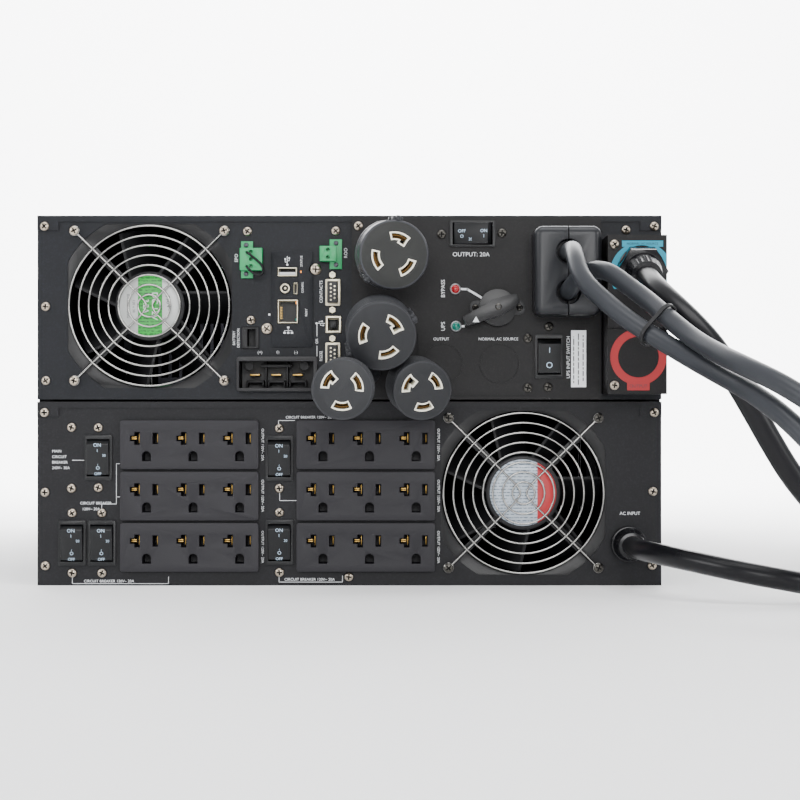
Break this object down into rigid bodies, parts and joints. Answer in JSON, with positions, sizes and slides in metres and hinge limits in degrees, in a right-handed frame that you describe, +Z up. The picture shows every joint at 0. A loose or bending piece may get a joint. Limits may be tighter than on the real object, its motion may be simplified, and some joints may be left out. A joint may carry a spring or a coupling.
{
  "type": "rackmount ups",
  "caption": "Two stacked 3U rack modules: a double-conversion power supply with bypass selector, communication ports and locking outlets, over a transformer and outlet module.",
  "frame": {"origin": "middle of the underside of the lower module", "axes": "+X to the right when facing the rear panels, +Y from the rear panels towards the front bezels, +Z up"},
  "size_m": [0.8163, 0.9961, 0.2596],
  "materials": {
    "black_sheet": "powder coat, fine texture",
    "black_plastic": "moulded, satin",
    "black_gloss": "moulded, semi-gloss",
    "guard_chrome": "bright plated wire",
    "bright_screw": "nickel plated",
    "black_screw": "black oxide",
    "terminal_green": "moulded green",
    "port_steel": "tin plated",
    "brass": "plain",
    "grey_rubber": "moulded grey",
    "cord_grey": "satin jacket",
    "cord_black": "satin jacket",
    "lamp": "clear coloured",
    "display": "smoked",
    "board_green": "solder mask",
    "aluminium": "extruded",
    "core_steel": "laminated",
    "winding": "enamelled copper",
    "ear_steel": "powder coat"
  },
  "bodies": {
    "chassis": {"upper_pan": "black_sheet", "upper_lid": "black_sheet", "upper_rear_panel": "black_sheet", "upper_bezel": "black_plastic", "display_screen": "display", "lower_pan": "black_sheet", "lower_lid": "black_sheet", "lower_rear_panel": "black_sheet", "lower_bezel": "black_plastic", "rack_ears": "ear_steel", "spacer_pads": "cord_black", "fan_frames": "black_plastic", "fan_guards": "guard_chrome", "switch_bodies": "black_gloss", "outlet_strips": "black_plastic", "ac_gland": "black_plastic", "transformer_core": "core_steel", "transformer_windings": "winding", "card_faceplate": "black_sheet", "data_ports": "port_steel", "terminal_plugs": "terminal_green", "epo_jumper": "cord_black", "battery_sense_socket": "black_plastic", "battery_connector": "black_gloss", "battery_contacts": "brass", "pdu_housing": "black_sheet", "wiring_covers": "black_sheet", "terminal_box": "black_sheet", "input_gland": "black_plastic", "cord_clamp": "black_plastic", "bypass_switch": "black_plastic", "indicator_lamps": "lamp", "large_locking_outlets": "grey_rubber", "small_locking_outlets": "grey_rubber", "outlet_necks": "grey_rubber", "circuit_boards": "board_green", "heatsinks": "aluminium", "silver_screws": "bright_screw", "black_screws": "black_screw", "output_cord_upper": "cord_grey", "output_cord_lower": "cord_grey", "output_cord_connectors": "grey_rubber", "cable_tie": "black_plastic", "input_cord": "cord_black", "input_cord_coil": "cord_black", "transformer_cord": "cord_black", "transformer_cord_coil": "cord_black", "cord_plugs": "cord_black"},
    "upper_fan": {"upper_fan_rotor": "black_plastic"},
    "lower_fan": {"lower_fan_rotor": "black_plastic"},
    "bypass_selector": {"bypass_knob": "black_plastic"},
    "output_breaker": {"output_breaker_rocker": "black_plastic"},
    "input_switch": {"input_switch_rocker": "black_plastic"},
    "power_button": {"power_button": "black_gloss"},
    "menu_button": {"menu_button": "black_gloss"},
    "breaker_1": {"breaker_rocker_1": "black_plastic"},
    "breaker_2": {"breaker_rocker_2": "black_plastic"},
    "breaker_3": {"breaker_rocker_3": "black_plastic"},
    "breaker_4": {"breaker_rocker_4": "black_plastic"},
    "breaker_5": {"breaker_rocker_5": "black_plastic"}
  },
  "joints": [
    {"name": "upper_fan_spin", "type": "hinge", "parent": "chassis", "child": "upper_fan", "pos_m": [-0.1401, -0.3, 0.1962], "axis": [0, 1, 0], "continuous": true},
    {"name": "lower_fan_spin", "type": "hinge", "parent": "chassis", "child": "lower_fan", "pos_m": [0.122, -0.3, 0.0651], "axis": [0, 1, 0], "continuous": true},
    {"name": "bypass_turn", "type": "hinge", "parent": "chassis", "child": "bypass_selector", "pos_m": [0.1036, -0.33, 0.1947], "axis": [0, 1, 0], "range_deg": [0, 55]},
    {"name": "output_breaker_rock", "type": "hinge", "parent": "chassis", "child": "output_breaker", "pos_m": [0.0862, -0.324, 0.2465], "axis": [0, 0, 1], "range_deg": [0, 20]},
    {"name": "input_switch_rock", "type": "hinge", "parent": "chassis", "child": "input_switch", "pos_m": [0.1397, -0.324, 0.1605], "axis": [-1, 0, 0], "range_deg": [0, 20]},
    {"name": "power_press", "type": "slide", "parent": "chassis", "child": "power_button", "axis": [0, -1, 0], "range_m": [0, 0.0015], "stiffness_N_per_m": 150},
    {"name": "menu_press", "type": "slide", "parent": "chassis", "child": "menu_button", "axis": [0, -1, 0], "range_m": [0, 0.0015], "stiffness_N_per_m": 150},
    {"name": "breaker_1_rock", "type": "hinge", "parent": "chassis", "child": "breaker_1", "pos_m": [-0.1762, -0.318, 0.0897], "axis": [-1, 0, 0], "range_deg": [0, 20]},
    {"name": "breaker_2_rock", "type": "hinge", "parent": "chassis", "child": "breaker_2", "pos_m": [-0.1946, -0.318, 0.0298], "axis": [-1, 0, 0], "range_deg": [0, 20]},
    {"name": "breaker_3_rock", "type": "hinge", "parent": "chassis", "child": "breaker_3", "pos_m": [-0.1737, -0.318, 0.0298], "axis": [-1, 0, 0], "range_deg": [0, 20]},
    {"name": "breaker_4_rock", "type": "hinge", "parent": "chassis", "child": "breaker_4", "pos_m": [-0.0492, -0.318, 0.0892], "axis": [-1, 0, 0], "range_deg": [0, 20]},
    {"name": "breaker_5_rock", "type": "hinge", "parent": "chassis", "child": "breaker_5", "pos_m": [-0.0491, -0.318, 0.0302], "axis": [-1, 0, 0], "range_deg": [0, 20]}
  ]
}
